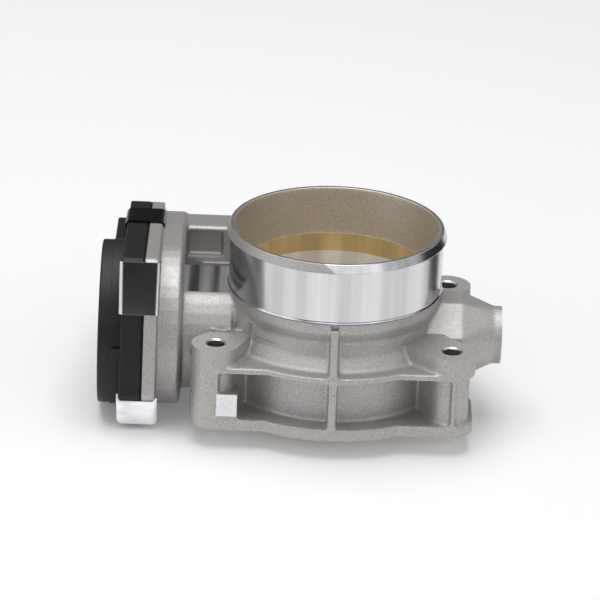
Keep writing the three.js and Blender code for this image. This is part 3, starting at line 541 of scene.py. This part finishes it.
def throttle_rotor():
    r, half, chamfer = PLATE_R, PLATE_HALF, 0.35
    edge = [(r - chamfer, -half), (r, chamfer - half), (r, half - chamfer), (r - chamfer, half)]
    outline = [(0, -half), *edge, (0, half)]
    plate = in_rotor(lathe("butterfly_plate", outline, 288, closed=False))
    give_looks(plate, "brass")
    finish_piece(plate, "throttle", "throttle_plate", 30)
    rod = drum("cross_shaft", 0, 0, SHAFT_R, -61, 60, sides=128)
    combine(rod, [drum("gear_seat", 0, 0, GEAR_SEAT_R, -93.6, -60)])
    flat = box("head_flat", (-39.5, 39.5), (-10, 10), (SHAFT_R - 0.8, 10))
    slot_cut = box("plate_slot", (-43.5, 43.5), (-10, 10), (-1.5, 1.5))
    combine(rod, [flat, slot_cut], "DIFFERENCE")
    round_edges(rod, 0.15, 2)
    give_looks(rod, "steel")
    finish_piece(in_rotor(rod), "throttle", "throttle_shaft", 30)
    for side, node in ((-1, "left_plate_screw"), (1, "right_plate_screw")):
        head = [(0, -4.6), (1.5, -4.6), (1.5, 4.5), (2.8, 4.5), (2.8, 5.3), (2.5, 6.0), (1.9, 6.4), (0, 6.4)]
        screw = lathe(node.replace("plate", "button"), head, 72, closed=False)
        combine(screw, [drum("hex_socket", 0, 0, 1.15, 5.2, 8, "z", 6)], "DIFFERENCE")
        screw.data.transform(Matrix.Translation((side * PLATE_SCREW_X * MM, 0, 0)))
        give_looks(screw, "steel")
        finish_piece(in_rotor(screw), "throttle", node, 30)


# ---- Cover, clips and other dressed pieces ----

def gear_cover():
    """The cover with its bulge, disc, tab and connector. Only the rim part is hollow here."""
    cover = round_edges(prism("gear_cover_shell", belt(COVER_EDGE), COVER_X, COVER_RIM_X), 0.6)
    root_x = COVER_X + 1.5
    bulge_edge = belt([(0, SHAFT_Z, 30), (MOTOR_Y, MOTOR_Z, 18.5)])
    bulge = round_edges(prism("bulge", bulge_edge, BULGE_X, root_x), 1.0)
    disc = round_edges(drum("disc", 0, SHAFT_Z, DISC_R, DISC_X, root_x, sides=220), 1.0, 4)
    step = round_edges(drum("disc_step", 0, SHAFT_Z, DISC_R + 0.45, DISC_X + 5.5, root_x, sides=220), 0.3, 2)
    dish = round_edges(drum("dish", 0, SHAFT_Z, DISH_R, DISC_X - 5, DISC_X + 1.0, sides=200), 0.5)
    tab = round_edges(box("tab", (-103.2, -98.6), (-41.4, -36), (27.7, 34)), 0.3)
    shroud = round_edges(box("shroud", (-98.4, -84.4), (88, 108), (26, 50)), 1.2)
    clear = box("shroud_clear", (-93.4, -80), (80, 96.4), (20, 60))
    combine(shroud, [clear], "DIFFERENCE")
    combine(cover, [bulge, disc, step, tab, shroud])
    hollow = prism("hollow", belt(COVER_EDGE, -COVER_WALL), COVER_X + COVER_WALL, COVER_RIM_X + 2)
    socket = round_edges(box("socket", (-96.4, -86.4), (98, 112), (28, 48)), 0.6)
    combine(cover, [dish, hollow, socket], "DIFFERENCE")
    give_looks(cover, "cover")
    finish_piece(cover, "root", "gear_cover", 30)


def bend(points, radius, steps):
    """A path of straight runs with each corner turned through an arc."""
    path = [points[0]]
    for before, corner, after in zip(points, points[1:], points[2:]):
        a, b, c = (Vector(p) for p in (before, corner, after))
        first, second = (a - b).normalized(), (c - b).normalized()
        half = first.angle(second) / 2
        reach = radius / math.tan(half)
        centre = b + (first + second).normalized() * radius / math.sin(half)
        start, end = b + first * reach - centre, b + second * reach - centre
        for i in range(steps + 1):
            share = i / steps
            arm = (start * (1 - share) + end * share).normalized() * radius
            path.append(tuple(centre + arm))
    return path + [points[-1]]


def strip_outline(path, thickness):
    """The outline of a strip of that thickness along a path, given by its outer line."""
    inner = []
    for i, point in enumerate(path):
        before = Vector(path[max(i - 1, 0)])
        after = Vector(path[min(i + 1, len(path) - 1)])
        run = (after - before).normalized()
        inner.append((point[0] + run.y * thickness, point[1] - run.x * thickness))
    return list(path) + inner[::-1]


# Each clip: the two corners of the cover's edge it lies between, its share of the way, and its look.
CLIPS = {
    "front": (5, 0, 0.17, "spring"),
    # Painted bright reflection: this clip is drawn near-white.
    "lower_front": (0, 1, 0.5, "spring_painted_bright_reflection"),
    "bottom": (2, 3, 0.45, "spring"),
    "top": (4, 5, 0.28, "dark_spring"),
}


def cover_clip(name, start, end, share, look):
    """A clip that grips the cover and the lip, between two corners of the cover's edge."""
    cover_grip, lip_grip, top = 3.0, 1.5, CLIP_GAP + CLIP_THICK
    low, high = COVER_X - top, LIP_BACK_X + top
    outer = bend([(low, -cover_grip), (low, top), (high, top), (high, -lip_grip)], CLIP_BEND_R, 12)
    outline = strip_outline(outer, CLIP_THICK)
    clip = prism(f"{name}_spring_clip", outline, -CLIP_HALF_WIDTH, CLIP_HALF_WIDTH, "z")
    round_edges(clip, 0.18, 2)
    y0, z0, r0 = COVER_EDGE[start]
    y1, z1, r1 = COVER_EDGE[end]
    run = Vector((y1 - y0, z1 - z0))
    unit = run.normalized()
    lean = (r0 - r1) / run.length
    normal = Vector((unit.y, -unit.x)) * math.sqrt(1 - lean ** 2) + unit * lean
    place = Vector((y0, z0)) + run * share + normal * (r0 + (r1 - r0) * share)
    turn = Matrix.Rotation(math.atan2(normal.y, normal.x), 4, "X")
    clip.data.transform(Matrix.Translation((0, place.x * MM, place.y * MM)) @ turn)
    give_looks(clip, look)
    finish_piece(clip, "root", f"{name}_cover_clip", 30)


def dress_cad_nodes():
    """Gives each CAD node that stays visible its look."""
    for look, names in NODE_LOOKS.items():
        for name in names:
            give_looks(frame["nodes"][name], look)


turned_throat()
casting()
throttle_rotor()
gear_cover()
for clip_name, clip_place in CLIPS.items():
    cover_clip(clip_name, *clip_place)
dress_cad_nodes()

# ---- Stage, light and camera ----

FLOOR_Z = CAD_BOX[0].z - 0.0002
FLOOR_R = 0.85


def floor():
    sides = 96
    rim = [(x, y, FLOOR_Z) for x, y in circle(0, 0, FLOOR_R, sides)]
    obj = link("floor", mesh_from("floor", rim, [tuple(range(sides))]))
    glow = {"Emission_Color": (1, 1, 1, 1), "Emission_Strength": 0.1}
    obj.data.materials.append(Look("pale_floor", (0.94, 0.94, 0.94), 0.9, 0.0, **glow).material)


def area_light(name, place, target, size, power):
    data = bpy.data.lights.new(name, "AREA")
    data.shape = "RECTANGLE"
    data.size, data.size_y = size
    data.energy = power
    obj = bpy.data.objects.new(name, data)
    bpy.context.scene.collection.objects.link(obj)
    obj.location = place
    obj.rotation_mode = "QUATERNION"
    obj.rotation_quaternion = (Vector(target) - Vector(place)).to_track_quat("-Z", "Y")


def world():
    """Pale to the eye and as fill light; in reflections dark round the horizon and pale overhead."""
    made = bpy.data.worlds.new("studio")
    bpy.context.scene.world = made
    made.use_nodes = True
    nodes, links = made.node_tree.nodes, made.node_tree.links
    background = nodes["Background"]
    place = nodes.new("ShaderNodeTexCoord")
    split = nodes.new("ShaderNodeSeparateXYZ")
    links.new(place.outputs["Generated"], split.inputs["Vector"])
    ramp = nodes.new("ShaderNodeValToRGB")
    low, high = ramp.color_ramp.elements
    low.position, low.color = 0.25, (0.02, 0.02, 0.022, 1)
    high.position, high.color = 0.75, (0.8, 0.8, 0.82, 1)
    links.new(split.outputs["Z"], ramp.inputs["Fac"])
    path = nodes.new("ShaderNodeLightPath")
    fill = (0.3, 0.3, 0.3, 1)
    seen = (1.0, 1.0, 1.0, 1)
    glossy = world_choice(made, path.outputs["Is Glossy Ray"], fill, ramp.outputs["Color"])
    links.new(world_choice(made, path.outputs["Is Camera Ray"], glossy, seen), background.inputs["Color"])
    background.inputs["Strength"].default_value = 1.0


def world_choice(made, chooser, first, second):
    """The second colour where the chooser is one, and the first elsewhere."""
    mix = made.node_tree.nodes.new("ShaderNodeMix")
    mix.data_type = "RGBA"
    made.node_tree.links.new(chooser, mix.inputs["Factor"])
    for socket, color in (("A", first), ("B", second)):
        if isinstance(color, tuple):
            mix.inputs[socket].default_value = color
        else:
            made.node_tree.links.new(color, mix.inputs[socket])
    return mix.outputs["Result"]


def dark_card(name, place, target, width, height):
    """A black card that only reflections show."""
    facing = math.atan2(target[1] - place[1], target[0] - place[0])
    side = Vector((-math.sin(facing), math.cos(facing), 0)) * width / 2
    low = Vector((place[0], place[1], FLOOR_Z + 0.001))
    high = low + Vector((0, 0, height))
    obj = link(name, mesh_from(name, [low - side, low + side, high + side, high - side], [(0, 1, 2, 3)]))
    look = Look(name + "_black", (0.01, 0.01, 0.01), 0.9, 0.0)
    obj.data.materials.append(look.material)
    obj.visible_camera = False
    obj.visible_shadow = False
    obj.visible_diffuse = False


def camera():
    azimuth, elevation, roll = (math.radians(a) for a in (-0.727, 22.674, 2.381))
    target, distance = Vector((-0.0161, 0, 0.0452)), 2.092
    level_reach = math.cos(elevation)
    back = Vector((math.sin(azimuth) * level_reach, -math.cos(azimuth) * level_reach, math.sin(elevation)))
    level = (-back).cross(Vector((0, 0, 1))).normalized()
    over = level.cross(-back)
    right = level * math.cos(roll) + over * math.sin(roll)
    up = over * math.cos(roll) - level * math.sin(roll)
    data = bpy.data.cameras.new("camera")
    data.lens = 266.36
    data.sensor_width = 36
    data.clip_end = 50
    obj = bpy.data.objects.new("camera", data)
    bpy.context.scene.collection.objects.link(obj)
    facing = Matrix((right, up, back)).transposed().to_4x4()
    obj.matrix_world = Matrix.Translation(target + back * distance) @ facing
    bpy.context.scene.camera = obj


floor()
world()
area_light("top_softbox", (-0.15, 0.0, 1.6), (0, 0, 0), (1.6, 1.2), 17)
area_light("front_softbox", (0.3, -1.7, 0.85), (0, 0, 0.05), (2.4, 0.7), 4.5)
area_light("left_softbox", (-1.3, -0.6, 0.5), (0, 0, 0.05), (1.4, 1.0), 5)
area_light("right_softbox", (1.3, -0.5, 0.5), (0, 0, 0.05), (1.4, 1.0), 2.5)
dark_card("right_card", (0.165, 0.085), (0.045, -0.02), 0.075, 0.08)
bpy.context.scene.view_settings.view_transform = "Standard"
camera()
